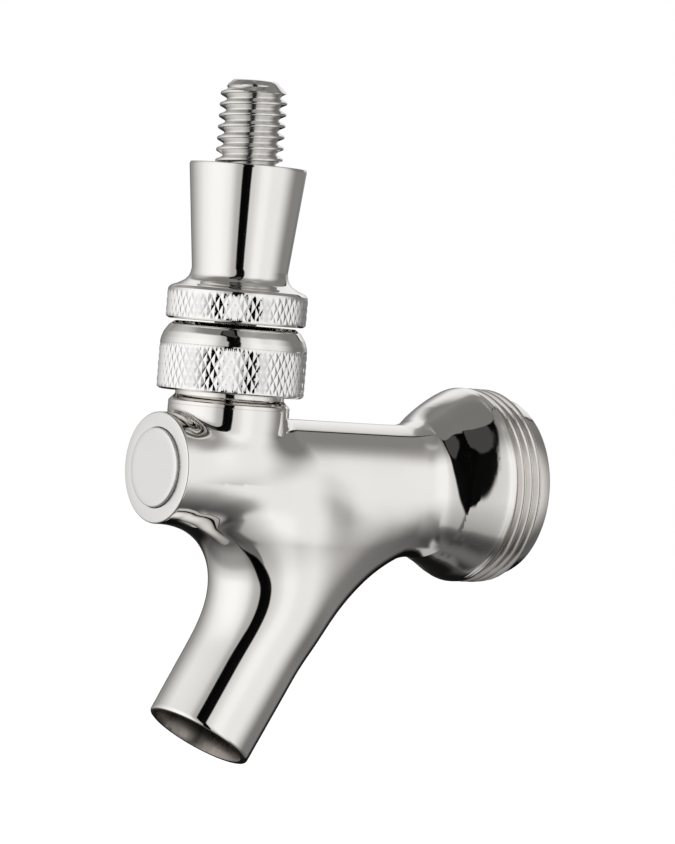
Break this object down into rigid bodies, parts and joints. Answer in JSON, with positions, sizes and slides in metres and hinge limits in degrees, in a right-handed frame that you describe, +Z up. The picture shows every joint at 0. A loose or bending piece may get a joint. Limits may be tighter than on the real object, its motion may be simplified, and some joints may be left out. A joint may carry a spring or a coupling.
{
  "type": "beer faucet",
  "caption": "Lever-operated beer faucet with a rear-closing shaft valve, a curved pouring spout and a threaded stud for a tap handle.",
  "frame": {"origin": "centre of the rear coupling face, on the barrel axis", "axes": "+Y out of the rear face towards the shank, +Z up along the closed lever, -Y towards the person pouring"},
  "size_m": [0.0286, 0.0612, 0.0964],
  "materials": {
    "chrome_body": "polished, with machined satin faces",
    "satin_chrome": "satin",
    "chrome_trim": "polished, with knurled bands",
    "stainless": "brushed along the thread",
    "stainless_valve": "turned",
    "acetal": "matte",
    "black_rubber": "matte",
    "seat_rubber": "matte"
  },
  "bodies": {
    "body": {"faucet_body": "chrome_body", "front_cap": "satin_chrome", "bonnet_nut": "chrome_trim", "friction_washer": "acetal", "ball_washer": "black_rubber", "coupling_gasket": "black_rubber"},
    "lever": {"lever": "stainless"},
    "ferrule": {"lever_ferrule": "chrome_trim"},
    "shaft": {"valve_shaft": "stainless_valve", "shaft_seat": "seat_rubber", "seat_washer": "stainless_valve", "seat_nut": "stainless_valve"}
  },
  "joints": [
    {"name": "lever_tilt", "type": "hinge", "parent": "body", "child": "lever", "pos_m": [0, -0.0491, 0.0123], "axis": [1, 0, 0], "range_deg": [0, 25]},
    {"name": "shaft_slide", "type": "slide", "parent": "body", "child": "shaft", "axis": [0, 1, 0], "range_m": [0, 0.0053]},
    {"name": "ferrule_turn", "type": "hinge", "parent": "lever", "child": "ferrule", "pos_m": [0, -0.0491, 0.03], "axis": [0, 0, 1], "continuous": true}
  ],
  "couplings": [
    {"joint": "shaft_slide", "follows": "lever_tilt", "m_per_rad": 0.011913}
  ]
}
